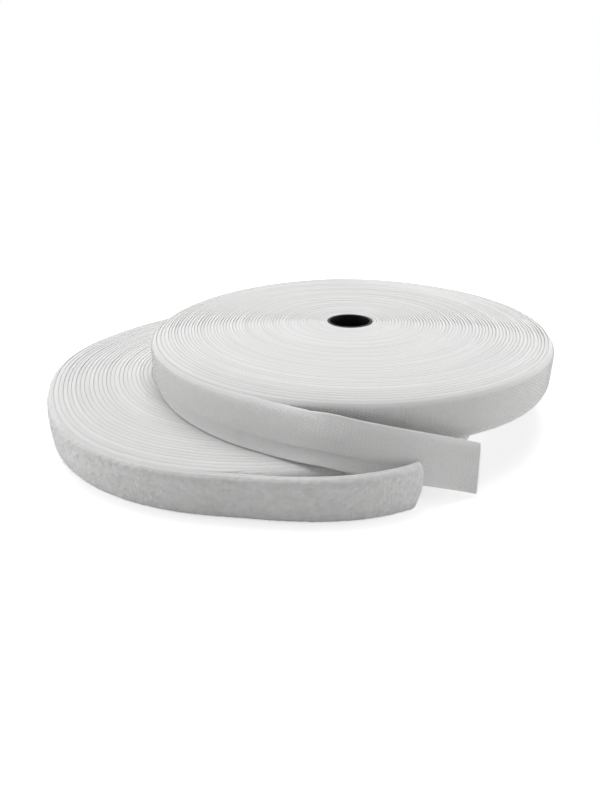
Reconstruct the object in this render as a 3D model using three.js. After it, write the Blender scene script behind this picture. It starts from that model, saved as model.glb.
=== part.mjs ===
// A pair of rolls of hook and loop tape: the hook roll lies flat on the larger loop roll, off to one side.
// Each tape is wound as one spiral on a plastic core, to which a strip of adhesive tape holds its inner end.
// The free end of the loop tape stands on the floor in front. The free end of the hook tape leans back, runs
// over the loop roll's rim and hangs to the floor behind the loop tape's end.
// Millimetres and degrees, +Z up, +X along the pair, the front at -Y, the origin under the middle of the pair.
import * as THREE from "three";

// Tape and rolls
const TAPE_WIDTH = 25;
const HOOK_ROLL_DIAMETER = 269;
const LOOP_ROLL_DIAMETER = 296;
const HOOK_TAPE_THICKNESS = 1.4;
const LOOP_TAPE_THICKNESS = 2.2;

// The hook roll's axis, measured from the loop roll's axis
const HOOK_ROLL_X = 57.3;
const HOOK_ROLL_Y = 9.1;

// Cores and the strips that hold the tapes on them
const CORE_DIAMETER = 32;
const CORE_WALL = 2;
const CORE_CHAMFER = 0.5;
const CORE_SIDES = 48;
const HOOK_CORE_RISE = 1.6;
const STARTER_THICKNESS = 0.5;
const STARTER_WIDTH = 19;
const STARTER_ARC = 75;
const STARTER_STEPS = 12;

// Clearances
const STACK_GAP = 0.3;
const SEAT_GAP = 0.3;
const RIM_CLEARANCE = 0.8;
const FLOOR_CLEARANCE = 0.5;

// Windings: one loop of the spiral stands for two or three turns of the thinner real tape
const WINDING_LOOPS = 23;
const STEPS_IN_A_LOOP = 24;
const LOOP_GAP = 0.5;
const LEAST_LOOP_GAP = 0.4;

// Where the hook tape leaves its roll, and how its last turn splays at the foot before that
const HOOK_PEEL_ANGLE = -105;
const SPLAY_ARC = 60;
const SPLAY_FOOT = 17;
const HOOK_LEAN = 28;

// The hook tail's foot, by angles about the loop roll's axis
const HOOK_TAIL_RIM_ANGLE = -75;
const HOOK_TAIL_END_ANGLE = -50;
const HOOK_TAIL_END_DRIFT = 3;
const HOOK_TAIL_DROOP = 1.12;
const HOOK_TAIL_POINTS = 5;
const HOOK_TAIL_STEPS = 20;

// The loop tail, by angles about the loop roll's axis
const LOOP_PEEL_ANGLE = -93;
const LOOP_TAIL_END_ANGLE = -61;
const LOOP_TAIL_CLEARANCE = 1.2;
const LOOP_TAIL_STEPS = 16;

// Colours and finishes
const HOOK_COLOUR = 0xe6e6e4;
const LOOP_COLOUR = 0xdededc;
const CORE_COLOUR = 0x101011;
const STARTER_COLOUR = 0xc9b98f;

// Sizes that follow
const hookRadius = HOOK_ROLL_DIAMETER / 2;
const loopRadius = LOOP_ROLL_DIAMETER / 2;
const coreRadius = CORE_DIAMETER / 2;
const starterRadius = coreRadius + SEAT_GAP;
const windingRadius = starterRadius + STARTER_THICKNESS + SEAT_GAP;
const hookBase = TAPE_WIDTH + STACK_GAP;
const loopAxis = new THREE.Vector2(0, 0);
const hookAxis = new THREE.Vector2(HOOK_ROLL_X, HOOK_ROLL_Y);
const lean = THREE.MathUtils.degToRad(HOOK_LEAN);

const directionAt = (angle) =>
  new THREE.Vector2(Math.cos(angle), Math.sin(angle));
const runAt = (angle) =>
  new THREE.Vector3(-Math.sin(angle), Math.cos(angle), 0);
const easeIn = (share) => THREE.MathUtils.smoothstep(share, 0, 1);

// One cross-section of a band, square to the way it runs. The foot is the lower corner of its outer face,
// which looks to the right of the run, and a tilt tips its top to the left.
function bandSection(foot, run, thickness, tilt) {
  const outward = new THREE.Vector3(run.y, -run.x, 0).normalize();
  const rise = new THREE.Vector3(0, 0, Math.cos(tilt));
  rise.addScaledVector(outward, -Math.sin(tilt));
  rise.addScaledVector(run, -rise.dot(run)).normalize();
  const face = run.clone().cross(rise);
  const outerLow = foot.clone();
  const innerLow = foot.clone().addScaledVector(face, -thickness);
  const outerHigh = outerLow.clone().addScaledVector(rise, TAPE_WIDTH);
  const innerHigh = innerLow.clone().addScaledVector(rise, TAPE_WIDTH);
  return [outerLow, outerHigh, innerHigh, innerLow];
}

// A closed band through its cross-sections, which follow each other anticlockwise seen from above.
function bandGeometry(sections) {
  const corners = sections[0].length;
  const positions = sections.flat().flatMap((point) => point.toArray());
  const triangles = [];
  for (let step = 0; step + 1 < sections.length; step++) {
    for (let corner = 0; corner < corners; corner++) {
      const next = (corner + 1) % corners;
      const a = step * corners + corner;
      const b = (step + 1) * corners + corner;
      const c = (step + 1) * corners + next;
      const d = step * corners + next;
      triangles.push(a, b, c, a, c, d);
    }
  }
  const last = (sections.length - 1) * corners;
  triangles.push(0, 1, 2, 0, 2, 3);
  triangles.push(last, last + 2, last + 1, last, last + 3, last + 2);
  const geometry = new THREE.BufferGeometry();
  geometry.setAttribute(
    "position",
    new THREE.Float32BufferAttribute(positions, 3),
  );
  geometry.setIndex(triangles);
  geometry.computeVertexNormals();
  return geometry;
}

// The foot of a band at a height, on a radius about a roll's axis.
function footAt(axis, angle, radius, height) {
  const spot = directionAt(angle).multiplyScalar(radius).add(axis);
  return new THREE.Vector3(spot.x, spot.y, height);
}

// The cross-sections of a wound tape, from its inner end on the core to the line where its tail leaves it.
// The last loop thins to one tape, and splays outwards at the foot where the roll has a splay.
function windingSections({ axis, radius, base, peel, tape, splay }) {
  const pitch = (radius - tape - windingRadius) / WINDING_LOOPS;
  const band = pitch - LOOP_GAP;
  const steps = WINDING_LOOPS * STEPS_IN_A_LOOP;
  const sections = [];
  for (let step = 0; step <= steps; step++) {
    const loopsToEnd = (steps - step) / STEPS_IN_A_LOOP;
    const degreesToEnd = 360 * loopsToEnd;
    const angle = THREE.MathUtils.degToRad(peel - degreesToEnd);
    const thinned = Math.max(1 - loopsToEnd, 0);
    const thickness = THREE.MathUtils.lerp(band, tape, thinned);
    const outer = windingRadius + (pitch * step) / STEPS_IN_A_LOOP + thickness;
    const splayed = splay ? easeIn(1 - degreesToEnd / SPLAY_ARC) : 0;
    const tilt = splayed * lean;
    const footHeight = base + thickness * Math.sin(tilt);
    const foot = footAt(axis, angle, outer + splayed * SPLAY_FOOT, footHeight);
    sections.push(bandSection(foot, runAt(angle), thickness, tilt));
  }
  return sections;
}

// The least distance between neighbouring loops, from each inner corner to the outer face one loop below.
function leastLoopGap(sections) {
  const closest = new THREE.Vector3();
  let least = Infinity;
  for (let step = STEPS_IN_A_LOOP; step < sections.length; step++) {
    const below = step - STEPS_IN_A_LOOP;
    const faces = [Math.max(below - 1, 0), below];
    for (const start of faces) {
      const end = Math.min(start + 1, sections.length - 1);
      const low = new THREE.Line3(sections[start][0], sections[end][0]);
      const high = new THREE.Line3(sections[start][1], sections[end][1]);
      low.closestPointToPoint(sections[step][3], true, closest);
      least = Math.min(least, closest.distanceTo(sections[step][3]));
      high.closestPointToPoint(sections[step][2], true, closest);
      least = Math.min(least, closest.distanceTo(sections[step][2]));
    }
  }
  return least;
}

function windingGeometry(name, roll) {
  const sections = windingSections(roll);
  const gap = leastLoopGap(sections);
  console.log(`${name}: least gap between loops ${gap.toFixed(3)} mm`);
  if (gap <= LEAST_LOOP_GAP) throw new Error(`${name}: its loops touch`);
  return bandGeometry(sections);
}

// The foot's radius about the loop roll's axis at which a leaning hook tail, with its foot at this height,
// clears the loop roll's rim and, while its top is above the hook roll's underside, the hook roll's wall.
function hookFootRadius(angle, height) {
  const across = HOOK_TAPE_THICKNESS * Math.cos(lean);
  const belowRim = Math.max(hookBase - height, 0);
  const pastRim =
    loopRadius + RIM_CLEARANCE + across + belowRim * Math.tan(lean);
  const reach =
    hookRadius + RIM_CLEARANCE + across + TAPE_WIDTH * Math.sin(lean);
  const along = directionAt(angle).dot(hookAxis);
  const root = along * along - hookAxis.lengthSq() + reach * reach;
  const pastWall = along + Math.sqrt(Math.max(root, 0));
  return Math.max(pastRim, pastWall);
}

// The hook tail's foot past the loop roll's rim: share 0 is on the rim and share 1 is the free end.
function hookFoot(share) {
  const degrees = THREE.MathUtils.lerp(
    HOOK_TAIL_RIM_ANGLE,
    HOOK_TAIL_END_ANGLE,
    share,
  );
  const angle = THREE.MathUtils.degToRad(degrees);
  const thin = HOOK_TAPE_THICKNESS * Math.sin(lean);
  const hang = Math.pow(1 - share, HOOK_TAIL_DROOP);
  const height = THREE.MathUtils.lerp(FLOOR_CLEARANCE, hookBase, hang) + thin;
  const drift = HOOK_TAIL_END_DRIFT * share * share;
  const radius = hookFootRadius(angle, height) + drift;
  return { angle, radius, height };
}

// The feet of the hook tail: from the roll, over the loop roll's face to its rim, then down to the floor.
function hookTailFeet() {
  const peel = THREE.MathUtils.degToRad(HOOK_PEEL_ANGLE);
  const rim = hookFoot(0);
  const feet = [footAt(hookAxis, peel, hookRadius + SPLAY_FOOT, rim.height)];
  for (let point = 0; point < HOOK_TAIL_POINTS; point++) {
    const { angle, radius, height } = hookFoot(point / (HOOK_TAIL_POINTS - 1));
    feet.push(footAt(loopAxis, angle, radius, height));
  }
  return feet;
}

function hookTailSections() {
  const route = new THREE.CatmullRomCurve3(hookTailFeet());
  const peelRun = runAt(THREE.MathUtils.degToRad(HOOK_PEEL_ANGLE));
  const sections = [];
  for (let step = 0; step <= HOOK_TAIL_STEPS; step++) {
    const share = step / HOOK_TAIL_STEPS;
    const foot = route.getPointAt(share);
    const run = step === 0 ? peelRun : route.getTangentAt(share);
    if (step === 0) foot.addScaledVector(peelRun, SEAT_GAP);
    sections.push(bandSection(foot, run, HOOK_TAPE_THICKNESS, lean));
  }
  return sections;
}

// The loop tail swings out from its roll until its end clears the hook tail behind it.
function loopTailSections() {
  const seat = SEAT_GAP / loopRadius;
  const behind = hookFoot(
    THREE.MathUtils.inverseLerp(
      HOOK_TAIL_RIM_ANGLE,
      HOOK_TAIL_END_ANGLE,
      LOOP_TAIL_END_ANGLE,
    ),
  );
  const endRadius = behind.radius + LOOP_TAIL_CLEARANCE + LOOP_TAPE_THICKNESS;
  const start = THREE.MathUtils.degToRad(LOOP_PEEL_ANGLE) + seat;
  const end = THREE.MathUtils.degToRad(LOOP_TAIL_END_ANGLE);
  const sections = [];
  for (let step = 0; step <= LOOP_TAIL_STEPS; step++) {
    const share = step / LOOP_TAIL_STEPS;
    const angle = THREE.MathUtils.lerp(start, end, share);
    const radius = THREE.MathUtils.lerp(loopRadius, endRadius, easeIn(share));
    const foot = footAt(loopAxis, angle, radius, 0);
    sections.push(bandSection(foot, runAt(angle), LOOP_TAPE_THICKNESS, 0));
  }
  return sections;
}

// A tube with chamfered rims, as long as the tape is wide.
function coreGeometry() {
  const bore = coreRadius - CORE_WALL;
  const profile = [
    [bore, CORE_CHAMFER],
    [bore + CORE_CHAMFER, 0],
    [coreRadius - CORE_CHAMFER, 0],
    [coreRadius, CORE_CHAMFER],
    [coreRadius, TAPE_WIDTH - CORE_CHAMFER],
    [coreRadius - CORE_CHAMFER, TAPE_WIDTH],
    [bore + CORE_CHAMFER, TAPE_WIDTH],
    [bore, TAPE_WIDTH - CORE_CHAMFER],
    [bore, CORE_CHAMFER],
  ];
  const points = profile.map(([radius, height]) => {
    return new THREE.Vector2(radius, height);
  });
  return new THREE.LatheGeometry(points, CORE_SIDES).rotateX(Math.PI / 2);
}

// A strip round the core, under the inner end of the tape.
function starterGeometry(peel) {
  const start = THREE.MathUtils.degToRad(peel);
  const end = THREE.MathUtils.degToRad(peel + STARTER_ARC);
  const outline = new THREE.Shape();
  outline.absarc(0, 0, starterRadius + STARTER_THICKNESS, start, end, false);
  outline.absarc(0, 0, starterRadius, end, start, true);
  return new THREE.ExtrudeGeometry(outline, {
    depth: STARTER_WIDTH,
    bevelEnabled: false,
    curveSegments: STARTER_STEPS,
  });
}

const tapeFinish = (colour) =>
  new THREE.MeshStandardMaterial({ color: colour, roughness: 0.9, metalness: 0 });
const coreFinish = () =>
  new THREE.MeshStandardMaterial({
    color: CORE_COLOUR,
    roughness: 0.45,
    metalness: 0,
  });
const starterFinish = () =>
  new THREE.MeshStandardMaterial({
    color: STARTER_COLOUR,
    roughness: 0.5,
    metalness: 0,
  });

function piece(name, geometry, finish) {
  const mesh = new THREE.Mesh(geometry, finish);
  mesh.name = name;
  return mesh;
}

// A core and its starter strip at a roll's axis. The core may have slipped up out of the winding's face.
function coreGroup(name, { axis, base, peel, coreRise }) {
  const group = new THREE.Group();
  const strip = piece(
    `${name}_starter_tape`,
    starterGeometry(peel),
    starterFinish(),
  );
  strip.position.z = (TAPE_WIDTH - STARTER_WIDTH) / 2;
  const core = piece(`${name}_core`, coreGeometry(), coreFinish());
  core.position.z = coreRise;
  group.add(core, strip);
  group.position.set(axis.x, axis.y, base);
  return group;
}

const loopRoll = {
  axis: loopAxis,
  radius: loopRadius,
  base: 0,
  peel: LOOP_PEEL_ANGLE,
  tape: LOOP_TAPE_THICKNESS,
  splay: false,
  coreRise: 0,
};
const hookRoll = {
  axis: hookAxis,
  radius: hookRadius,
  base: hookBase,
  peel: HOOK_PEEL_ANGLE,
  tape: HOOK_TAPE_THICKNESS,
  splay: true,
  coreRise: HOOK_CORE_RISE,
};

const pair = new THREE.Group();
pair.add(
  coreGroup("loop", loopRoll),
  piece(
    "loop_winding",
    windingGeometry("loop_winding", loopRoll),
    tapeFinish(LOOP_COLOUR),
  ),
  piece("loop_tail", bandGeometry(loopTailSections()), tapeFinish(LOOP_COLOUR)),
  coreGroup("hook", hookRoll),
  piece(
    "hook_winding",
    windingGeometry("hook_winding", hookRoll),
    tapeFinish(HOOK_COLOUR),
  ),
  piece("hook_tail", bandGeometry(hookTailSections()), tapeFinish(HOOK_COLOUR)),
);

// The origin goes under the middle of the pair.
const box = new THREE.Box3().setFromObject(pair, true);
const middle = box.getCenter(new THREE.Vector3());
pair.position.set(-middle.x, -middle.y, -box.min.z);

export default new THREE.Group().add(pair);
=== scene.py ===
"""The looks of a pair of hook and loop tape rolls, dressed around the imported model.

Sizes are in millimetres and angles in degrees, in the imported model's frame, and turn to metres and radians
where a mesh or a camera is made. The stage and the lamps are in metres.
"""

import math

import bpy
import numpy as np
from mathutils import Matrix, Vector


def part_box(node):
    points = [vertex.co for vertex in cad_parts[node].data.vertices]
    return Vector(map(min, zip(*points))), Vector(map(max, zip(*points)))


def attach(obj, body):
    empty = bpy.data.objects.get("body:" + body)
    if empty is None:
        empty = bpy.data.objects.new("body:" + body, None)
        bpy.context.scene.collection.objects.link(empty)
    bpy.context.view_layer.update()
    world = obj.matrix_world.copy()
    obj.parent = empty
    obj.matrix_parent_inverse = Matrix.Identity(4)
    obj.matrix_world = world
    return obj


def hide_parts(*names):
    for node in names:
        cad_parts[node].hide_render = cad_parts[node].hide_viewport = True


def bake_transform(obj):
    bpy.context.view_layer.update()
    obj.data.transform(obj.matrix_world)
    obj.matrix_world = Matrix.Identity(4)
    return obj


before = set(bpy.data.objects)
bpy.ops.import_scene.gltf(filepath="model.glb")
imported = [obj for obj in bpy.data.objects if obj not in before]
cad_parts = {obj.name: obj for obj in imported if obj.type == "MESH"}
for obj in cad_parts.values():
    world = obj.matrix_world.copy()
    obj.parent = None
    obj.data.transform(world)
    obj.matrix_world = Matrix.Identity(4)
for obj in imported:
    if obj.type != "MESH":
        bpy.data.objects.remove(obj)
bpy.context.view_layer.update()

MM = 0.001

# Hook tape: a woven base, with stiff hooks in upright columns on its outer face
HOOK_WIDTH = 26.3
HOOK_BASE = 0.95
HOOK_HEIGHT = 0.65
HOOK_MARGIN = 2.2
HOOK_COLUMN_STEP = 2.0
HOOK_ROW_STEP = 1.05
HOOK_THREAD = 0.16
HOOK_REACH = 0.6
HOOK_SCATTER = 0.07
HOOK_GROOVE_WIDTH = 0.38
HOOK_GROOVE_DEPTH = 1.8

# Loop tape: a woven base, with a brushed pile of loops on its outer face
LOOP_WIDTH = 25.0
LOOP_BASE = 1.0
PILE_HEIGHT = 1.2
PILE_MARGIN = 0.35
PILE_SHOULDER = 1.5
PILE_EDGE_SHARE = 0.45
PILE_SINK = 0.1
PILE_STEP = 0.6
PILE_ROUGHNESS = 0.22
PILE_GRAIN = 0.3
FIBRE_COUNT = 5200
FIBRE_HEIGHT = 0.55
FIBRE_REACH = 1.3
FIBRE_THREAD = 0.06
LOOP_GROOVE_WIDTH = 0.17
LOOP_GROOVE_DEPTH = 0.45

# The pile's tufts, as sizes and weights, each a sum of waves whose lengths scatter around that size
PILE_TUFTS = ((6.0, 0.3), (3.2, 0.4), (1.9, 0.4))
TUFT_WAVES = 6
TUFT_SCATTER = (0.8, 1.25)
TUFT_RANGE = 2.5

# The bends of a hook and of a loose loop, as shares of its height and of its reach
HOOK_BENDS = ((0, 0), (0.6, 0.04), (1, 0.5), (0.7, 1))
FIBRE_BENDS = ((0, 0), (0.8, 0.15), (1, 0.5), (0.7, 0.9), (0, 1))
THREAD_SIDES = 3

# Both tapes: rounded edges that curl in a little, with a groove between the edges of neighbouring turns
EDGE_ROUND = 0.3
FREE_EDGE_ROUND = 0.2
FREE_BASE = 0.55
CUP_DEPTH = 2.6
FOOT_CUP_DEPTH = 0.7
CUP_WIDTH = 6.5
CUP_POWER = 2.4
FREE_CUP = 0.15
GROOVE_SLOPE = 0.5
GROOVE_COLUMNS = 2
TURN_GAP = 0.02
RIBBON_STEP = 2.0
RIBBON_COLUMNS = 26
MAP_OUT_SHARE = 0.5

# Rolls, out to the tips of the hooks and of the pile at the end of the last turn
HOOK_RADIUS = 136.4
LOOP_RADIUS = 148.8
HOOK_TURNS = 55
LOOP_TURNS = 48
FIRST_TURN_GAP = 0.4
MOST_SPACING = 1.2
SETTLE_TURNS = 1.5
STEPS_IN_A_TURN = 64
PACES_IN_A_TURN = 24

# How unevenly the rolls are wound, as a size and as waves in a turn
PITCH_SWAY = 0.16
PITCH_WAVES = (0.13, 0.23, 0.41)
RADIUS_SWAY = 0.1
RADIUS_WAVES = (0.37, 0.71, 1.31, 2.17)
EDGE_SWAY = 0.14
EDGE_WAVES = (0.29, 0.57, 1.13, 1.73, 2.61)

# The outer turns of the hook roll that have sprung loose on the left
LOOSE_TURNS = 3.2
LOOSE_POWER = 1.4
LOOSE_BULGE = 1.6
LOOSE_ANGLE = 186
LOOSE_HALF_ARC = 48

# How the top edges of the outer turns draw down to a rounded rim, as depth, angle and half arc
HOOK_RIM = (3.0, 205, 145)
LOOP_RIM = (1.2, -90, 75)
RIM_TURNS = 7
RIM_SPREAD = 1.6
SHRINK_POWER = 3

# How the hook roll sags where it overhangs the loop roll
SAG_DEPTH = 1.8
SAG_REACH = 40

# How the loop roll is pressed out of its round, as depth, angle and half arc
LOOP_DENTS = ((2.6, -36, 50), (1.6, 206, 26), (-2.4, 170, 26), (-1.8, -132, 44))

# Where the hook tape comes away from its roll, first at its foot and then at its top edge
HOOK_PEEL = -105
AWAY_ARC = 68
AWAY_EASE = 0.4
STAND_OFF = 1.5
STAND_OFF_ARC = 10
STAND_OFF_EASE = 0.5
FREE_BEFORE = 16
FREE_AFTER = 16

# How the hook tape leans back from the peel to its end, with a fold along its face and a belly above it
PEEL_LEAN = 36
END_LEAN = 19
LEAN_EASE = 0.72
CREASE_HEIGHT = 7.5
CREASE_DEPTH = 2.2
CREASE_SOFT = 0.05
CREASE_END = 0.75
BELLY = 2.6
BELLY_SCALE = 6.75

# The hook tape's way from the peel over the loop roll's rim to its end on the floor
HOOK_RIBBON_ARC = 66
HOOK_BARE_ARC = 5
HOOK_END_RADIUS = 172.6
HOOK_END_ANGLE = -50
HOOK_END_HEIGHT = 1.2
HOOK_END_HEADING = 10
HOOK_START_PULL = 36
HOOK_END_PULL = 17
HOOK_END_SLANT = 5.0
HOOK_END_REACH = 40
DROOP_START = 0.06
DROOP_EASE = 0.14
DROOP_SAG = 0.25
ROUTE_POINTS = 120
ROOT_STEP = 0.001

# Where the loop tape leaves its roll, and its end, with one corner cut off at the foot
LOOP_PEEL = -93
LOOP_LEAVE = -99
LOOP_RIBBON_ARC = 45
LOOP_BARE_ARC = 3.6
LOOP_TAIL_END_ANGLE = -60.6
LOOP_TAIL_END_RADIUS = 163.0
LOOP_CORNER_CUT = 4.2
LOOP_CORNER_HEIGHT = 11.0
LOOP_CORNER_REACH = 8.0

# How sharply the turn under a last turn starts to show its bare face
BARE_FADE = 30

# Cores and the strips that hold the tapes on them
CORE_WALL = 2.0
CORE_ROUND = 0.45
CORE_ROUND_POINTS = 5
CORE_POINTS = 160
STRIP_GAP = 0.05
STRIP_THICKNESS = 0.2
STRIP_POINTS = 25

# The angle up to which a mesh is shaded smooth
TAPE_SMOOTH = 50
CORE_SMOOTH = 60
THREAD_SMOOTH = 80
PILE_SMOOTH = 180

# Seeds of all that is random
HOOK_ROLL_SEED = 11
LOOP_ROLL_SEED = 29
WALL_HOOKS_SEED = 3
RIBBON_HOOKS_SEED = 4
TUFT_SEED = 5
WALL_PILE_SEED = 7
RIBBON_PILE_SEED = 8
WALL_FIBRES_SEED = 17
RIBBON_FIBRES_SEED = 18

# Colours, from the darker to the paler tone, and the share of a texture's range over which they change
HOOK_TAPE_TONES = ((0.74, 0.74, 0.735), (0.83, 0.83, 0.825))
LOOP_TAPE_TONES = ((0.7, 0.7, 0.695), (0.77, 0.77, 0.765))
NYLON_TONES = ((0.76, 0.76, 0.755), (0.86, 0.86, 0.855))
PILE_TONES = ((0.71, 0.71, 0.705), (0.79, 0.79, 0.785))
CORE_TONES = ((0.004, 0.004, 0.0045), (0.009, 0.009, 0.0095))
STRIP_TONES = ((0.5, 0.4, 0.2), (0.64, 0.54, 0.32))
TONE_START = 0.3
TONE_END = 0.7

# Weaves, as the length of a thread's wave, the share of light let through and how deep it goes
HOOK_WEAVE = (0.62, 0.25, 1.5)
LOOP_WEAVE = (0.7, 0.4, 1.2)

# Textures: how often they change in a metre, and their relief as a depth and a strength
TAPE_TONE_SCALE = 6.0
NYLON_TONE_SCALE = 160.0
PILE_TONE_SCALE = 240.0
PILE_FIBRE_SCALE = 1900.0
CORE_GRAIN_SCALE = 900.0
STRIP_CREASE_SCALE = 220.0
WEAVE_RELIEF = (0.08, 0.6)
PILE_RELIEF = (0.4, 0.6)
CORE_RELIEF = (0.1, 0.25)
STRIP_RELIEF = (0.3, 0.4)

# Camera, fitted to the edges of the rolls in the photograph of 600 by 800 pixels
CAMERA_PLACE = (-4.4, -376.1, 171.5)
CAMERA_YAW = 0.64
CAMERA_PITCH = 25.0
CAMERA_ROLL = -0.66
CAMERA_LENS = 25.7
CAMERA_SENSOR = 36.0

# Floor, in metres: its glow is low out to the shadow's reach, and full from the white's reach on
FLOOR_REACH = 6.0
FLOOR_DROP = 0.0002
FLOOR_GREY = 0.85
FLOOR_NEAR_GLOW = 0.55
SHADOW_REACH = 0.3
WHITE_REACH = 0.9

# Light: the share of the world's white that lights the object, and lamps as place, width and power
AMBIENT = 0.31
OVERHEAD_LAMP = ((0.0, 0.8, 1.5), 1.5, 24)
RIGHT_LAMP = ((1.5, -0.1, 0.25), 1.0, 12)
LEFT_LAMP = ((-1.5, 0.1, 0.25), 1.0, 12)


def node_centre(name):
    low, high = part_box(name)
    return (np.array(low) + np.array(high)) / (2 * MM)


def node_heights(name):
    low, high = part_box(name)
    return low.z / MM, high.z / MM


hook_axis = node_centre("hook_core")[:2]
loop_axis = node_centre("loop_core")[:2]
hook_floor = node_heights("hook_winding")[0]
loop_floor = node_heights("loop_winding")[0]
core_radius = (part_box("hook_core")[1].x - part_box("hook_core")[0].x) / (2 * MM)
winding_start = core_radius + FIRST_TURN_GAP


# Curves

def smoothstep(share):
    share = np.clip(share, 0, 1)
    return share * share * (3 - 2 * share)


def soft_ramp(share, ease):
    """A straight ramp from 0 to 1 that starts softly."""
    share = np.clip(share, 0, 1)
    curve = np.where(share < ease, share * share / (2 * ease), share - ease / 2)
    return curve / (1 - ease / 2)


def hump(degrees, middle, half_arc, spread=1):
    """1 at an angle round a roll and 0 at half_arc from it, with a flat top where spread is over 1."""
    off = (degrees - middle + 180) % 360 - 180
    return smoothstep(spread * (1 - np.abs(off) / half_arc))


def top_free(past_peel):
    """From 0 to 1 where the hook tape's top edge comes away, by the distance past its peel."""
    return smoothstep((past_peel + FREE_BEFORE) / (FREE_BEFORE + FREE_AFTER))


def loop_tail_swing(degrees):
    """How far the end of the loop tape has come away from its round, at an angle of its last turn."""
    share = (degrees - LOOP_LEAVE) / (LOOP_TAIL_END_ANGLE - LOOP_LEAVE)
    return (LOOP_TAIL_END_RADIUS - LOOP_RADIUS) * smoothstep(share)


def sway(seed, rates, size):
    """A smooth random function of a count of turns."""
    phases = np.random.default_rng(seed).uniform(0, 2 * math.pi, len(rates))

    def value(turns):
        waves = [np.sin(2 * math.pi * rate * turns + phase) for rate, phase in zip(rates, phases)]
        return size * np.mean(waves, axis=0)

    return value


def lengths_along(points):
    """The distance of each point from the first, along a line of points."""
    steps = np.linalg.norm(np.diff(points, axis=0), axis=1)
    return np.concatenate([[0], np.cumsum(steps)])


# Tapes, and the frames along their length

class Tape:
    """A tape's section: its width and woven base, how far its hooks or pile stand out, and its grooves."""

    def __init__(self, width, base, stand, groove_width, groove_depth):
        self.width = width
        self.base = base
        self.stand = stand
        self.groove_width = groove_width
        self.groove_depth = groove_depth


hook_tape = Tape(HOOK_WIDTH, HOOK_BASE, HOOK_HEIGHT, HOOK_GROOVE_WIDTH, HOOK_GROOVE_DEPTH)
loop_tape = Tape(LOOP_WIDTH, LOOP_BASE, PILE_HEIGHT, LOOP_GROOVE_WIDTH, LOOP_GROOVE_DEPTH)

FRAME_KEYS = ("foot", "run", "rise", "face", "cup", "crease", "trim", "slant", "shrink", "slope")


def make_frames(tape, foot, run, tilt, along):
    """Frames of a tape: its foot on the ground face, the way it runs, its rise and its outer face."""
    run = run / np.linalg.norm(run, axis=1, keepdims=True)
    outward = np.stack([run[:, 1], -run[:, 0], np.zeros(len(run))], axis=1)
    outward /= np.linalg.norm(outward, axis=1, keepdims=True)
    rise = np.zeros_like(outward)
    rise[:, 2] = np.cos(tilt)
    rise -= outward * np.sin(tilt)[:, None]
    rise -= run * np.sum(rise * run, axis=1, keepdims=True)
    rise /= np.linalg.norm(rise, axis=1, keepdims=True)
    face = np.cross(run, rise)
    plain = np.zeros(len(run))
    return {
        "tape": tape, "foot": foot, "run": run, "rise": rise, "face": face, "along": along,
        "cup": plain + 1, "crease": plain, "trim": plain, "slant": plain, "shrink": plain, "slope": plain,
    }


def place(frames, across, out):
    """Points of a tape: across its width from the foot, and out from its ground face."""
    width = frames["tape"].width
    across = np.broadcast_to(across, (len(frames["foot"]), np.shape(across)[-1]))
    shrink = frames["shrink"][:, None] + frames["slope"][:, None] * out
    drawn = across - (across / width) ** SHRINK_POWER * shrink
    top_cup = CUP_DEPTH * np.clip(1 - (width - across) / CUP_WIDTH, 0, 1) ** CUP_POWER
    foot_cup = FOOT_CUP_DEPTH * np.clip(1 - across / CUP_WIDTH, 0, 1) ** CUP_POWER
    cup = (top_cup + foot_cup) * frames["cup"][:, None]
    below = across / CREASE_HEIGHT
    above = (width - across) / (width - CREASE_HEIGHT)
    fold = (below + above - np.sqrt((below - above) ** 2 + CREASE_SOFT ** 2)) / 2
    belly = BELLY_SCALE * np.clip(above, 0, 1) ** 2 * np.clip(1 - above, 0, 1)
    out = out - cup + (BELLY * belly - CREASE_DEPTH * fold) * frames["crease"][:, None]
    corner = np.clip(1 - across / LOOP_CORNER_HEIGHT, 0, 1)
    pull = LOOP_CORNER_CUT * corner * frames["trim"][:, None]
    pull = pull + across / width * frames["slant"][:, None]
    return (
        frames["foot"][:, None, :]
        + frames["rise"][:, None, :] * drawn[:, :, None]
        + frames["face"][:, None, :] * out[:, :, None]
        - frames["run"][:, None, :] * pull[:, :, None]
    )


def join_frames(first, second):
    """Two stretches of one tape as one."""
    joined = {"tape": first["tape"]}
    for key in FRAME_KEYS:
        joined[key] = np.concatenate([first[key], second[key]])
    joined["along"] = np.concatenate([first["along"], first["along"][-1] + second["along"]])
    return joined


# Rolls

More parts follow.
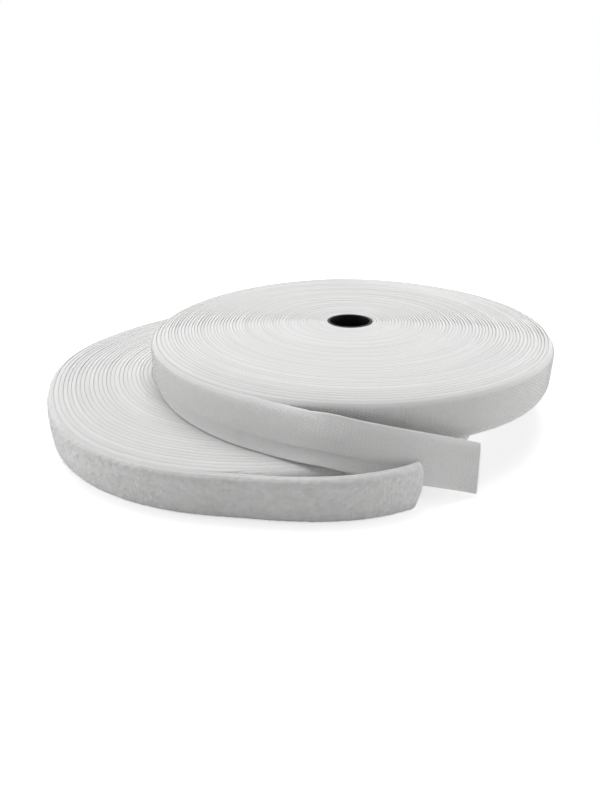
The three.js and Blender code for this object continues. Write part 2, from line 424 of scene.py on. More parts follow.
class Roll:
    """A wound tape: its axis, its spacing from turn to turn, and the frames along its turns."""

    def __init__(self, tape, axis, floor, peel, turns, radius, rim, seed):
        self.tape = tape
        self.axis = axis
        self.floor = floor
        self.peel = peel
        self.turns = turns
        self.rim = rim
        self.last_back = radius - tape.stand - tape.base
        self.radius_sway = sway(seed + 1, RADIUS_WAVES, RADIUS_SWAY)
        self.edge_sway = sway(seed + 2, EDGE_WAVES, EDGE_SWAY)
        pitch_sway = sway(seed, PITCH_WAVES, PITCH_SWAY)
        self.grid = np.linspace(0, turns, turns * PACES_IN_A_TURN + 1)
        paces = 1 + pitch_sway(self.grid)
        steps = (paces[1:] + paces[:-1]) / 2
        count = np.concatenate([[0], np.cumsum(steps)])
        self.backs = winding_start + (self.last_back - winding_start) * count / count[-1]

    def back(self, turns):
        """The radius of the tape's back."""
        settled = np.clip((self.turns - turns) / SETTLE_TURNS, 0, 1) * np.clip(turns / SETTLE_TURNS, 0, 1)
        return np.interp(turns, self.grid, self.backs) + self.radius_sway(turns) * settled

    def spacing(self, turns):
        """The room from this turn's back to the next turn's back."""
        later = np.minimum(turns + 1, self.turns)
        room = self.back(later) + self.shift(later) - self.back(turns) - self.shift(turns)
        pitch = (self.last_back - winding_start) / self.turns
        return np.where(turns + 1 <= self.turns, np.minimum(room, MOST_SPACING * pitch), pitch)

    def degrees(self, turns):
        return self.peel - 360 * (self.turns - turns)

    def shift(self, turns):
        """How far a turn is pushed out of its round."""
        return np.zeros_like(turns)

    def away(self, turns):
        """From 0 to 1 along the stretch that comes away from the roll."""
        return np.zeros_like(turns)

    def free(self, turns):
        """From 0 to 1 where the top edge comes away too."""
        return np.zeros_like(turns)

    def shoulder(self, turns, later=0):
        """How far a turn's top edge is drawn down, or that of a later turn beside it."""
        depth, middle, half_arc = self.rim
        outer = np.clip((turns + later - self.turns + RIM_TURNS) / RIM_TURNS, 0, None) ** 2
        return depth * outer * hump(self.degrees(turns), middle, half_arc, RIM_SPREAD)

    def lean(self, turns):
        """How far a turn's top leans in over its foot."""
        return np.zeros_like(turns)

    def rise(self, turns):
        """How far a turn stands above the face that it lies on."""
        return EDGE_SWAY + self.edge_sway(turns)

    def frames(self, turns):
        angle = np.radians(self.degrees(turns))
        lean = self.lean(turns)
        radius = self.back(turns) + self.tape.base + self.shift(turns) + self.tape.width * np.sin(lean)
        slope = np.gradient(radius, angle)
        heading = np.stack([np.cos(angle), np.sin(angle), np.zeros_like(angle)], axis=1)
        aside = np.stack([-np.sin(angle), np.cos(angle), np.zeros_like(angle)], axis=1)
        foot = heading * radius[:, None]
        foot[:, :2] += self.axis
        foot[:, 2] = self.floor + self.rise(turns) * np.cos(lean)
        foot[:, 2] += (self.tape.base + self.tape.stand) * np.sin(lean)
        run = aside + heading * (slope / radius)[:, None]
        frames = make_frames(self.tape, foot, run, lean, lengths_along(foot))
        frames["crease"] = self.away(turns)
        frames["cup"] = 1 + (FREE_CUP - 1) * self.free(turns)
        frames["shrink"] = np.maximum(self.shoulder(turns) - self.tape.width * (1 - np.cos(lean)), 0)
        frames["slope"] = (self.shoulder(turns, 1) - self.shoulder(turns)) / self.spacing(turns)
        return frames


class HookRoll(Roll):
    """The hook roll, with its last turns sprung loose on the left and its end coming away from it."""

    def away(self, turns):
        return soft_ramp(1 - 360 * (self.turns - turns) / AWAY_ARC, AWAY_EASE)

    def free(self, turns):
        return top_free(-2 * math.pi * self.last_back * (self.turns - turns))

    def shift(self, turns):
        loose = np.clip((turns - self.turns + LOOSE_TURNS) / LOOSE_TURNS, 0, None) ** LOOSE_POWER
        bulge = LOOSE_BULGE * loose * hump(self.degrees(turns), LOOSE_ANGLE, LOOSE_HALF_ARC)
        stand_off = soft_ramp(1 - 360 * (self.turns - turns) / STAND_OFF_ARC, STAND_OFF_EASE)
        return bulge + STAND_OFF * stand_off

    def lean(self, turns):
        return math.radians(PEEL_LEAN) * self.away(turns)

    def rise(self, turns):
        angle = np.radians(self.degrees(turns))
        radius = self.back(turns) + self.tape.base
        x = self.axis[0] + radius * np.cos(angle) - loop_axis[0]
        y = self.axis[1] + radius * np.sin(angle) - loop_axis[1]
        overhang = np.hypot(x, y) - LOOP_RADIUS
        return super().rise(turns) - SAG_DEPTH * smoothstep(overhang / SAG_REACH)


class LoopRoll(Roll):
    """The loop roll, pressed in where the hook tape passes, with its end coming away at the front."""

    def shift(self, turns):
        degrees = self.degrees(turns)
        pressed = sum(depth * hump(degrees, middle, half_arc) for depth, middle, half_arc in LOOP_DENTS)
        return loop_tail_swing(degrees) - pressed * (turns / self.turns) ** 2


hook_roll = HookRoll(
    hook_tape, hook_axis, hook_floor, HOOK_PEEL, HOOK_TURNS, HOOK_RADIUS, HOOK_RIM, HOOK_ROLL_SEED
)
loop_roll = LoopRoll(
    loop_tape, loop_axis, loop_floor, LOOP_PEEL, LOOP_TURNS, LOOP_RADIUS, LOOP_RIM, LOOP_ROLL_SEED
)


# Tails

def hook_tail_route():
    """The tail's foot: a smooth line from the last turn, over the loop roll's rim to the floor."""
    root = hook_roll.frames(HOOK_TURNS - ROOT_STEP * np.array([2, 1, 0]))
    start = root["foot"][-1]
    angle = math.radians(HOOK_END_ANGLE)
    end = loop_axis + HOOK_END_RADIUS * np.array([math.cos(angle), math.sin(angle)])
    heading = math.radians(HOOK_END_HEADING)
    leave = start[:2] + HOOK_START_PULL * root["run"][-1, :2]
    arrive = end - HOOK_END_PULL * np.array([math.cos(heading), math.sin(heading)])
    share = np.linspace(0, 1, ROUTE_POINTS)[:, None]
    rest = 1 - share
    plan = (
        rest ** 3 * start[:2] + 3 * rest ** 2 * share * leave
        + 3 * rest * share ** 2 * arrive + share ** 3 * end
    )
    run = lengths_along(plan)
    fall = soft_ramp((run / run[-1] - DROOP_START) / (1 - DROOP_START), DROOP_EASE)
    height = start[2] + (HOOK_END_HEIGHT - start[2]) * fall * (1 - DROOP_SAG * (1 - fall))
    return np.column_stack([plan, height])


def along_route(route, distances):
    """Points and directions at distances along a route."""
    run = lengths_along(route)
    foot = np.stack([np.interp(distances, run, route[:, k]) for k in range(3)], axis=1)
    slope = np.gradient(route, run, axis=0)
    heading = np.stack([np.interp(distances, run, slope[:, k]) for k in range(3)], axis=1)
    return foot, heading


hook_tail_line = hook_tail_route()
hook_tail_length = lengths_along(hook_tail_line)[-1]


def hook_tail_frames(distances):
    foot, heading = along_route(hook_tail_line, distances)
    share = distances / hook_tail_length
    tilt = np.radians(PEEL_LEAN + (END_LEAN - PEEL_LEAN) * smoothstep(share / LEAN_EASE))
    frames = make_frames(hook_tape, foot, heading, tilt, distances - distances[0])
    frames["crease"] = 1 - smoothstep(share / CREASE_END)
    frames["cup"] = 1 + (FREE_CUP - 1) * top_free(distances)
    frames["slant"] = HOOK_END_SLANT * smoothstep(1 - (hook_tail_length - distances) / HOOK_END_REACH)
    return frames


def hook_ribbon_frames(step):
    """The end of the last turn and the tail, from the left of the roll to the free end."""
    arc = math.radians(HOOK_RIBBON_ARC) * HOOK_RADIUS
    turns = HOOK_TURNS - np.linspace(HOOK_RIBBON_ARC / 360, 0, round(arc / step), endpoint=False)
    tail = np.linspace(0, hook_tail_length, round(hook_tail_length / step) + 1)
    return join_frames(hook_roll.frames(turns), hook_tail_frames(tail))


def loop_ribbon_frames(step):
    """The end of the last turn and the tail of the loop tape."""
    arc = math.radians(LOOP_RIBBON_ARC) * LOOP_RADIUS
    turns = LOOP_TURNS - np.linspace(LOOP_RIBBON_ARC / 360, 0, round(arc / step), endpoint=False)
    tail_arc = LOOP_TAIL_END_ANGLE - LOOP_PEEL
    share = np.linspace(0, 1, round(math.radians(tail_arc) * LOOP_RADIUS / step) + 1)
    last_turn = np.full(len(share), float(LOOP_TURNS))
    degrees = LOOP_PEEL + tail_arc * share
    angle = np.radians(degrees)
    radius = LOOP_RADIUS - PILE_HEIGHT + loop_tail_swing(degrees)
    foot = np.stack([np.cos(angle) * radius, np.sin(angle) * radius, np.zeros_like(angle)], axis=1)
    foot[:, :2] += loop_axis
    foot[:, 2] = loop_floor + loop_roll.rise(last_turn) * (1 - share)
    along = lengths_along(foot)
    tail = make_frames(loop_tape, foot, np.gradient(foot, axis=0), np.zeros(len(share)), along)
    tail["trim"] = smoothstep(1 - (along[-1] - along) / LOOP_CORNER_REACH)
    tail["shrink"] = loop_roll.shoulder(last_turn) * (1 - smoothstep(share))
    return join_frames(loop_roll.frames(turns), tail)


# Meshes

def make_object(name, points, faces, material, uv=None, smooth_angle=TAPE_SMOOTH):
    """A mesh object from points in millimetres, with a map of where each point lies on its tape."""
    mesh = bpy.data.meshes.new(name)
    mesh.from_pydata((np.asarray(points) * MM).tolist(), [], faces)
    if uv is not None:
        layer = mesh.uv_layers.new(name="tape")
        corners = np.zeros(len(mesh.loops), np.int32)
        mesh.loops.foreach_get("vertex_index", corners)
        layer.data.foreach_set("uv", (uv * MM)[corners].astype(np.float32).ravel())
    mesh.shade_smooth()
    mesh.set_sharp_from_angle(angle=math.radians(smooth_angle))
    mesh.materials.append(material)
    piece = bpy.data.objects.new(name, mesh)
    bpy.context.scene.collection.objects.link(piece)
    return piece


def grid_faces(rows, columns):
    """Quads of a grid of points, row by row, whose columns close on themselves."""
    row, column = np.meshgrid(np.arange(rows - 1), np.arange(columns), indexing="ij")
    later = (column + 1) % columns
    a = row * columns + column
    b = (row + 1) * columns + column
    c = (row + 1) * columns + later
    d = row * columns + later
    return np.stack([a, b, c, d], axis=-1).reshape(-1, 4)


def make_band(name, frames, across, out, material, smooth_angle=TAPE_SMOOTH):
    """A closed band with one ring of points around each frame, capped at its ends."""
    points = place(frames, across, out)
    rows, columns = points.shape[:2]
    faces = grid_faces(rows, columns).tolist()
    faces.append(list(range(columns)))
    faces.append([(rows - 1) * columns + k for k in reversed(range(columns))])
    reach = np.broadcast_to(across + out * MAP_OUT_SHARE, (rows, columns))
    length = np.broadcast_to(frames["along"][:, None], (rows, columns))
    uv = np.stack([length, reach], axis=-1).reshape(-1, 2)
    return make_object(name, points.reshape(-1, 3), faces, material, uv, smooth_angle)


def tape_ring(tape, up, face, base, edge):
    """The ring of points round a tape: up its outer face, which stands out by face, then down its back."""
    across = np.concatenate([[0], up, [tape.width, tape.width], up[::-1], [0]])
    edge = edge[:, None]
    front = np.concatenate([face[:, :1] - edge, face, face[:, -1:] - edge], axis=1)
    back = np.zeros_like(front) - base[:, None]
    back[:, [0, -1]] += edge
    return across, np.concatenate([front, back], axis=1)


def make_winding(name, roll, last_turn, bare_turn, material):
    """The turns up to last_turn, each filled out to the next but for its grooves, bare after bare_turn."""
    count = round(last_turn * STEPS_IN_A_TURN)
    turns = np.linspace(0, last_turn, count + 1)
    room = roll.spacing(turns) - roll.tape.base
    filled = 1 - smoothstep((turns - bare_turn) * BARE_FADE + 0.5)
    groove = np.maximum(room - roll.tape.groove_width, 0) * filled
    middle = np.maximum(room - TURN_GAP, 0) * filled
    depth = roll.tape.groove_depth
    low = np.array([EDGE_ROUND, depth, depth + GROOVE_SLOPE, CUP_WIDTH / 2, CUP_WIDTH])
    up = np.concatenate([low, roll.tape.width - low[::-1]])
    edges = [groove] * GROOVE_COLUMNS
    face = np.stack(edges + [middle] * (len(up) - 2 * GROOVE_COLUMNS) + edges, axis=1)
    plain = np.ones(count + 1)
    across, out = tape_ring(roll.tape, up, face, plain * roll.tape.base, plain * EDGE_ROUND)
    return make_band(name, roll.frames(turns), across, out, material)


def make_ribbon(name, frames, material):
    """A stretch of tape that shows all its outer face, and its true thinness where it is free."""
    tape = frames["tape"]
    up = np.linspace(EDGE_ROUND, tape.width - EDGE_ROUND, RIBBON_COLUMNS)
    freed = (1 - frames["cup"]) / (1 - FREE_CUP)
    base = tape.base + (FREE_BASE - tape.base) * freed
    edge = EDGE_ROUND + (FREE_EDGE_ROUND - EDGE_ROUND) * freed
    across, out = tape_ring(tape, up, np.zeros((len(freed), len(up))), base, edge)
    return make_band(name, frames, across, out, material)


def make_threads(name, feet, normal, heading, bends, thread, material):
    """Short bent threads from their feet, each through bends given as a height and a reach."""
    side = np.cross(normal, heading)
    rings = []
    for height, reach in bends:
        middle = feet + normal * height + heading * reach
        for corner in range(THREAD_SIDES):
            turn = 2 * math.pi * corner / THREAD_SIDES
            wide = side * math.cos(turn) + (normal + heading) * math.sin(turn) / math.sqrt(2)
            rings.append(middle + wide * thread)
    points = np.stack(rings, axis=1)
    count, size = points.shape[:2]
    starts = np.arange(count)[:, None] * size
    sides = grid_faces(len(bends), THREAD_SIDES)
    faces = (sides[None, :, :] + starts[:, :, None]).reshape(-1, 4).tolist()
    faces += (starts + np.arange(THREAD_SIDES)).tolist()
    faces += (starts + size - 1 - np.arange(THREAD_SIDES)).tolist()
    return make_object(name, points.reshape(-1, 3), faces, material, None, THREAD_SMOOTH)


def make_hooks(name, frames, material, seed):
    """Hooks in upright columns, one column at each frame, that curl forward and back by turns."""
    draws = np.random.default_rng(seed)
    rows = np.arange(HOOK_MARGIN, HOOK_WIDTH - HOOK_MARGIN, HOOK_ROW_STEP)
    feet = place(frames, rows, np.zeros_like(rows) - HOOK_THREAD)
    normal = np.broadcast_to(frames["face"][:, None, :], feet.shape).reshape(-1, 3)
    run = np.broadcast_to(frames["run"][:, None, :], feet.shape).reshape(-1, 3)
    feet = feet.reshape(-1, 3)
    feet = feet + run * draws.normal(0, HOOK_SCATTER, (len(feet), 1))
    heading = run * np.where(np.arange(len(feet)) % 2, 1, -1)[:, None]
    tall = HOOK_HEIGHT + HOOK_THREAD
    bends = [(height * tall, reach * HOOK_REACH) for height, reach in HOOK_BENDS]
    return make_threads(name, feet, normal, heading, bends, HOOK_THREAD, material)


def pile_tufts(along, across):
    """The uneven top of the pile: tufts of a few sizes, from about -1 to 1."""
    draws = np.random.default_rng(TUFT_SEED)
    height = np.zeros(np.broadcast(along, across).shape)
    for size, weight in PILE_TUFTS:
        for _ in range(TUFT_WAVES):
            heading = draws.uniform(0, math.pi)
            phase = draws.uniform(0, 2 * math.pi)
            pace = 2 * math.pi / size * draws.uniform(*TUFT_SCATTER)
            wave = (along * math.cos(heading) + across * math.sin(heading)) * pace
            height = height + weight * np.sin(wave + phase) / TUFT_RANGE
    return height


def make_pile(name, frames, material, seed):
    """The pile on the outer face: a thick soft band with an uneven top, drawn in at its edges."""
    columns = round((LOOP_WIDTH - 2 * PILE_MARGIN) / PILE_STEP)
    up = np.linspace(PILE_MARGIN, LOOP_WIDTH - PILE_MARGIN, columns)
    tufts = pile_tufts(frames["along"][:, None], up[None, :])
    fine = np.random.default_rng(seed).normal(0, PILE_GRAIN, tufts.shape)
    edge = np.minimum(up - PILE_MARGIN, LOOP_WIDTH - PILE_MARGIN - up)
    crown = PILE_HEIGHT * (PILE_EDGE_SHARE + (1 - PILE_EDGE_SHARE) * smoothstep(edge / PILE_SHOULDER))
    top = crown[None, :] - PILE_ROUGHNESS + PILE_ROUGHNESS * np.clip(tufts + fine, -1, 1)
    across = np.concatenate([up, up[[-1, 0]]])
    sunk = np.full((len(top), 2), -PILE_SINK)
    return make_band(name, frames, across, np.concatenate([top, sunk], axis=1), material, PILE_SMOOTH)


def make_fibres(name, frames, count, material, seed):
    """Loose loops that stand out of the pile, at random places and headings."""
    draws = np.random.default_rng(seed)
    picked = np.sort(draws.integers(0, len(frames["foot"]) - 1, count))
    chosen = {"tape": frames["tape"]}
    for key in FRAME_KEYS:
        chosen[key] = frames[key][picked]
    across = draws.uniform(FIBRE_REACH, LOOP_WIDTH - FIBRE_REACH, (count, 1))
    foot_height = PILE_HEIGHT - 2 * PILE_ROUGHNESS
    feet = place(chosen, across, np.full((count, 1), foot_height))[:, 0, :]
    turn = draws.uniform(0, 2 * math.pi, (count, 1))
    heading = chosen["run"] * np.cos(turn) + chosen["rise"] * np.sin(turn)
    tall = FIBRE_HEIGHT + PILE_ROUGHNESS
    bends = [(height * tall, reach * FIBRE_REACH) for height, reach in FIBRE_BENDS]
    return make_threads(name, feet, chosen["face"], heading, bends, FIBRE_THREAD, material)


# Materials

def new_material(name):
    material = bpy.data.materials.new(name)
    material.use_nodes = True
    nodes = material.node_tree.nodes
    shader = nodes["Principled BSDF"]
    return material, nodes, material.node_tree.links, shader


def add_math(nodes, links, operation, first, second):
    node = nodes.new("ShaderNodeMath")
    node.operation = operation
    for socket, value in zip(node.inputs, (first, second)):
        if isinstance(value, (int, float)):
            socket.default_value = value
        else:
            links.new(value, socket)
    return node.outputs[0]


def add_noise(nodes, links, vector, scale, detail=3.0):
    node = nodes.new("ShaderNodeTexNoise")
    node.inputs["Scale"].default_value = scale
    node.inputs["Detail"].default_value = detail
    links.new(vector, node.inputs["Vector"])
    return node.outputs["Fac"]


def add_tones(nodes, links, value, tones, shader):
    """A base colour that runs between two tones as a texture's value rises."""
    node = nodes.new("ShaderNodeValToRGB")
    for element, position, tone in zip(node.color_ramp.elements, (TONE_START, TONE_END), tones):
        element.position = position
        element.color = (*tone, 1)
    links.new(value, node.inputs["Fac"])
    links.new(node.outputs["Color"], shader.inputs["Base Color"])


def add_relief(nodes, links, height, relief, shader):
    depth, strength = relief
    node = nodes.new("ShaderNodeBump")
    node.inputs["Distance"].default_value = depth * MM
    node.inputs["Strength"].default_value = strength
    links.new(height, node.inputs["Height"])
    links.new(node.outputs["Normal"], shader.inputs["Normal"])


def soften(shader, weight, depth):
    """Lets light through the fabric, so that its folds and edges stay pale."""
    shader.inputs["Subsurface Weight"].default_value = weight
    shader.inputs["Subsurface Radius"].default_value = (1, 1, 1)
    shader.inputs["Subsurface Scale"].default_value = depth * MM


def object_place(nodes):
    return nodes.new("ShaderNodeTexCoord").outputs["Object"]


def add_wave(nodes, links, value, pace):
    return add_math(nodes, links, "SINE", add_math(nodes, links, "MULTIPLY", value, pace), 0)


def woven_material(name, tones, weave):
    """White woven nylon: a plain weave of threads, with an uneven tone that runs along the tape."""
    thread, weight, depth = weave
    material, nodes, links, shader = new_material(name)
    on_tape = nodes.new("ShaderNodeUVMap")
    on_tape.uv_map = "tape"
    split = nodes.new("ShaderNodeSeparateXYZ")
    links.new(on_tape.outputs["UV"], split.inputs[0])
    pace = 2 * math.pi / (thread * MM)
    warp = add_wave(nodes, links, split.outputs["X"], pace)
    weft = add_wave(nodes, links, split.outputs["Y"], pace)
    crossing = add_math(nodes, links, "MULTIPLY", warp, weft)
    tone = add_noise(nodes, links, on_tape.outputs["UV"], TAPE_TONE_SCALE)
    add_tones(nodes, links, tone, tones, shader)
    shader.inputs["Roughness"].default_value = 0.85
    shader.inputs["Sheen Weight"].default_value = 0.1
    shader.inputs["Specular IOR Level"].default_value = 0.25
    soften(shader, weight, depth)
    add_relief(nodes, links, crossing, WEAVE_RELIEF, shader)
    return material


def hook_material():
    """Clear-white nylon thread."""
    material, nodes, links, shader = new_material("nylon_hooks")
    tone = add_noise(nodes, links, object_place(nodes), NYLON_TONE_SCALE)
    add_tones(nodes, links, tone, NYLON_TONES, shader)
    shader.inputs["Roughness"].default_value = 0.45
    return material


def pile_material():
    """Brushed nylon loops: mottled, matt and soft at grazing angles."""
    material, nodes, links, shader = new_material("loop_pile")
    spot = object_place(nodes)
    broad = add_noise(nodes, links, spot, PILE_TONE_SCALE, detail=4.0)
    fibre = add_noise(nodes, links, spot, PILE_FIBRE_SCALE, detail=2.0)
    add_tones(nodes, links, broad, PILE_TONES, shader)
    shader.inputs["Roughness"].default_value = 0.95
    shader.inputs["Sheen Weight"].default_value = 0.25
    shader.inputs["Specular IOR Level"].default_value = 0.15
    add_relief(nodes, links, fibre, PILE_RELIEF, shader)
    return material


def core_material():
    """Black moulded plastic with a fine grain."""
    material, nodes, links, shader = new_material("core_plastic")
    grain = add_noise(nodes, links, object_place(nodes), CORE_GRAIN_SCALE, detail=4.0)
    add_tones(nodes, links, grain, CORE_TONES, shader)
    shader.inputs["Roughness"].default_value = 0.4
    shader.inputs["Specular IOR Level"].default_value = 0.12
    add_relief(nodes, links, grain, CORE_RELIEF, shader)
    return material


def strip_material():
    """Tan adhesive tape, a little creased."""
    material, nodes, links, shader = new_material("starter_tape")
    crease = add_noise(nodes, links, object_place(nodes), STRIP_CREASE_SCALE)
    add_tones(nodes, links, crease, STRIP_TONES, shader)
    shader.inputs["Roughness"].default_value = 0.5
    add_relief(nodes, links, crease, STRIP_RELIEF, shader)
    return material


hook_woven = woven_material("hook_woven", HOOK_TAPE_TONES, HOOK_WEAVE)
loop_woven = woven_material("loop_woven", LOOP_TAPE_TONES, LOOP_WEAVE)
nylon_hooks = hook_material()
loop_pile = pile_material()
core_plastic = core_material()
starter_tape = strip_material()


# Pieces


def dress_hook_roll():
    split = HOOK_TURNS - HOOK_RIBBON_ARC / 360
    bare = HOOK_TURNS - 1 - HOOK_BARE_ARC / 360
    winding = make_winding("hook_turns", hook_roll, split, bare, hook_woven)
    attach(winding, "hook_roll")
    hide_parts("hook_winding")
    ribbon = make_ribbon("hook_ribbon", hook_ribbon_frames(RIBBON_STEP), hook_woven)
    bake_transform(ribbon)
    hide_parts("hook_tail")
    column = HOOK_COLUMN_STEP / (2 * math.pi * HOOK_RADIUS)
    wall = hook_roll.frames(np.arange(bare, split, column))
    wall_hooks = make_hooks("hook_wall_hooks", wall, nylon_hooks, WALL_HOOKS_SEED)
    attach(wall_hooks, "hook_roll")
    columns = hook_ribbon_frames(HOOK_COLUMN_STEP)
    ribbon_hooks = make_hooks("hook_ribbon_hooks", columns, nylon_hooks, RIBBON_HOOKS_SEED)
    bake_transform(ribbon_hooks)


def dress_loop_roll():
    split = LOOP_TURNS - LOOP_RIBBON_ARC / 360
    bare = LOOP_TURNS - 1 - LOOP_BARE_ARC / 360
    winding = make_winding("loop_turns", loop_roll, split, bare, loop_woven)
    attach(winding, "loop_roll")
    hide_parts("loop_winding")
    ribbon = make_ribbon("loop_ribbon", loop_ribbon_frames(RIBBON_STEP), loop_woven)
    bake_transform(ribbon)
    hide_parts("loop_tail")
    column = PILE_STEP / (2 * math.pi * LOOP_RADIUS)
    wall = loop_roll.frames(np.arange(bare, split, column))
    tail = loop_ribbon_frames(PILE_STEP)
    tail_share = len(tail["foot"]) / (len(wall["foot"]) + len(tail["foot"]))
    tail_fibres = round(FIBRE_COUNT * tail_share)
    wall_fibres = FIBRE_COUNT - tail_fibres
    for piece in (
        make_pile("loop_wall_pile", wall, loop_pile, WALL_PILE_SEED),
        make_fibres("loop_wall_fibres", wall, wall_fibres, loop_pile, WALL_FIBRES_SEED),
    ):
        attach(piece, "loop_roll")
    for piece in (
        make_pile("loop_ribbon_pile", tail, loop_pile, RIBBON_PILE_SEED),
        make_fibres("loop_ribbon_fibres", tail, tail_fibres, loop_pile, RIBBON_FIBRES_SEED),
    ):
        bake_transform(piece)


def dress_core(name, body):
    """A smooth tube with rounded rims in place of the faceted core."""
    middle = node_centre(name)
    bottom, top = node_heights(name)
    low = bottom + CORE_ROUND
    high = top - CORE_ROUND
    outer = core_radius - CORE_ROUND
    inner = core_radius - CORE_WALL + CORE_ROUND
    corners = ((-90, outer, low), (0, outer, high), (90, inner, high), (180, inner, low))
    profile = []
    for start, radius, height in corners:
        for turn in np.radians(start + np.linspace(0, 90, CORE_ROUND_POINTS)):
            profile.append((radius + CORE_ROUND * math.cos(turn), height + CORE_ROUND * math.sin(turn)))
    profile = np.array(profile)
    around = np.linspace(0, 2 * math.pi, CORE_POINTS, endpoint=False)[:, None]
    points = np.stack([
        middle[0] + np.cos(around) * profile[:, 0],
        middle[1] + np.sin(around) * profile[:, 0],
        np.broadcast_to(profile[:, 1], (len(around), len(profile))),
    ], axis=-1)
    rows, columns = points.shape[:2]
    faces = (grid_faces(rows + 1, columns) % (rows * columns)).tolist()
    tube = make_object(f"{name}_tube", points.reshape(-1, 3), faces, core_plastic, None, CORE_SMOOTH)
    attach(tube, body)
    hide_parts(name)


def dress_starter(name, axis, body):
    """A thin strip round the core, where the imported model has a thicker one."""
    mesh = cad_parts[name].data
    spots = np.array([vertex.co for vertex in mesh.vertices]) / MM
    angles = np.arctan2(spots[:, 1] - axis[1], spots[:, 0] - axis[0])
    middle = np.angle(np.mean(np.exp(1j * angles)))
    reach = np.max(np.abs(np.angle(np.exp(1j * (angles - middle)))))
    bottom, top = node_heights(name)
    around = np.linspace(middle - reach, middle + reach, STRIP_POINTS)
    inner = core_radius + STRIP_GAP
    outer = inner + STRIP_THICKNESS
    section = np.array([(outer, bottom), (outer, top), (inner, top), (inner, bottom)])
    corners = len(section)
    points = np.stack([
        axis[0] + np.cos(around)[:, None] * section[:, 0],
        axis[1] + np.sin(around)[:, None] * section[:, 0],
        np.broadcast_to(section[:, 1], (len(around), corners)),
    ], axis=-1)
    faces = grid_faces(len(around), corners).tolist()
    last = corners * (len(around) - 1)
    faces.append(list(range(corners)))
    faces.append([last + k for k in reversed(range(corners))])
    strip = make_object(f"{name}_strip", points.reshape(-1, 3), faces, starter_tape)
    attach(strip, body)
    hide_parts(name)


dress_hook_roll()
dress_loop_roll()
dress_core("hook_core", "hook_roll")
dress_core("loop_core", "loop_roll")
dress_starter("hook_starter_tape", hook_axis, "hook_roll")
dress_starter("loop_starter_tape", loop_axis, "loop_roll")


# Stage, lamps and camera

def camera_rays(nodes, links):
    """1 for what the camera sees, straight, in a gloss or through glass."""
    path = nodes.new("ShaderNodeLightPath").outputs
    seen = add_math(nodes, links, "MAXIMUM", path["Is Camera Ray"], path["Is Glossy Ray"])
    return add_math(nodes, links, "MAXIMUM", seen, path["Is Transmission Ray"])


def floor_glow(nodes, links):
    """How strongly the floor glows: less near the object, where it keeps a faint shadow."""
    distance = nodes.new("ShaderNodeVectorMath")
    distance.operation = "LENGTH"
    links.new(object_place(nodes), distance.inputs[0])
    spread = nodes.new("ShaderNodeMapRange")
    spread.interpolation_type = "SMOOTHSTEP"
    spread.inputs["From Min"].default_value = SHADOW_REACH
    spread.inputs["From Max"].default_value = WHITE_REACH
    spread.inputs["To Min"].default_value = FLOOR_NEAR_GLOW
    spread.inputs["To Max"].default_value = 1
    links.new(distance.outputs["Value"], spread.inputs["Value"])
    return add_math(nodes, links, "MULTIPLY", camera_rays(nodes, links), spread.outputs["Result"])


def floor_material():
    """Pale and matt, with a glow that only the camera sees."""
    material = bpy.data.materials.new("white_floor")
    material.use_nodes = True
    nodes = material.node_tree.nodes
    links = material.node_tree.links
    nodes.clear()
    output = nodes.new("ShaderNodeOutputMaterial")
    matt = nodes.new("ShaderNodeBsdfDiffuse")
    matt.inputs["Color"].default_value = (FLOOR_GREY, FLOOR_GREY, FLOOR_GREY, 1)
    glow = nodes.new("ShaderNodeEmission")
    links.new(floor_glow(nodes, links), glow.inputs["Strength"])
    add = nodes.new("ShaderNodeAddShader")
    links.new(matt.outputs[0], add.inputs[0])
    links.new(glow.outputs[0], add.inputs[1])
    links.new(add.outputs[0], output.inputs["Surface"])
    return material


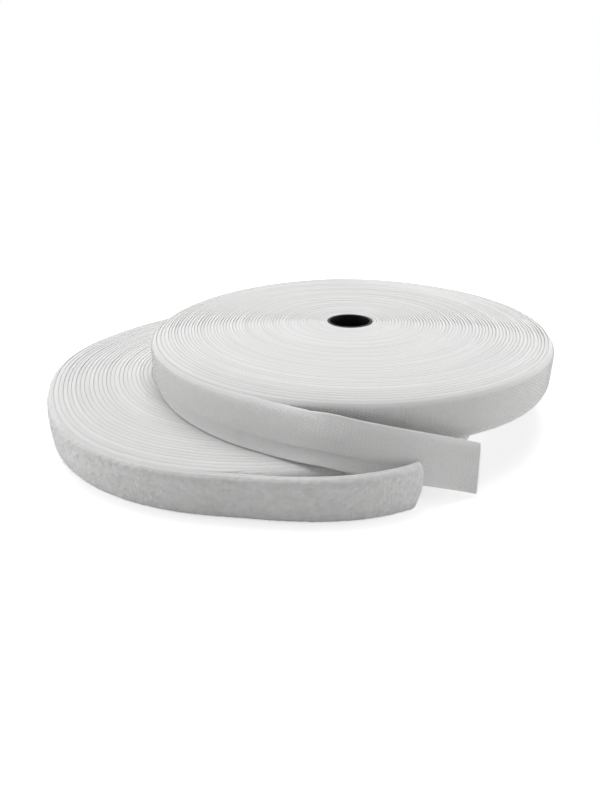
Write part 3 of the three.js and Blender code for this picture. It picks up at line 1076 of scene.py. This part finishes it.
def make_floor(reach):
    """A flat floor that shows white."""
    mesh = bpy.data.meshes.new("floor")
    corners = [(-reach, -reach, 0), (reach, -reach, 0), (reach, reach, 0), (-reach, reach, 0)]
    mesh.from_pydata(corners, [], [(0, 1, 2, 3)])
    mesh.materials.append(floor_material())
    floor = bpy.data.objects.new("floor", mesh)
    floor.location.z = -FLOOR_DROP
    bpy.context.scene.collection.objects.link(floor)


def make_world(ambient):
    """A white background that lights the object with its ambient share."""
    world = bpy.data.worlds.new("studio")
    world.use_nodes = True
    nodes = world.node_tree.nodes
    links = world.node_tree.links
    background = nodes["Background"]
    background.inputs["Color"].default_value = (1, 1, 1, 1)
    seen = camera_rays(nodes, links)
    lit = add_math(nodes, links, "MULTIPLY", seen, 1 - ambient)
    links.new(add_math(nodes, links, "ADD", lit, ambient), background.inputs["Strength"])
    bpy.context.scene.world = world


def make_lamp(name, spot, width, power):
    """A round soft lamp that looks at the object."""
    light = bpy.data.lights.new(name, "AREA")
    light.shape = "DISK"
    light.size = width
    light.energy = power
    lamp = bpy.data.objects.new(name, light)
    lamp.location = spot
    lamp.rotation_mode = "QUATERNION"
    lamp.rotation_quaternion = (-Vector(spot)).to_track_quat("-Z", "Y")
    bpy.context.scene.collection.objects.link(lamp)


def make_camera():
    yaw = math.radians(CAMERA_YAW)
    pitch = math.radians(CAMERA_PITCH)
    roll = math.radians(CAMERA_ROLL)
    ahead = Vector((math.sin(yaw) * math.cos(pitch), math.cos(yaw) * math.cos(pitch), -math.sin(pitch)))
    level = ahead.cross(Vector((0, 0, 1))).normalized()
    upward = level.cross(ahead)
    right = level * math.cos(roll) + upward * math.sin(roll)
    top = upward * math.cos(roll) - level * math.sin(roll)
    data = bpy.data.cameras.new("camera")
    data.lens = CAMERA_LENS
    data.sensor_width = CAMERA_SENSOR
    camera = bpy.data.objects.new("camera", data)
    turn = Matrix((right, top, -ahead)).transposed().to_4x4()
    camera.matrix_world = Matrix.Translation(Vector(CAMERA_PLACE) * MM) @ turn
    bpy.context.scene.collection.objects.link(camera)
    bpy.context.scene.camera = camera


make_floor(FLOOR_REACH)
make_world(AMBIENT)
make_lamp("overhead", *OVERHEAD_LAMP)
make_lamp("right_side", *RIGHT_LAMP)
make_lamp("left_side", *LEFT_LAMP)
make_camera()
bpy.context.scene.view_settings.view_transform = "Standard"
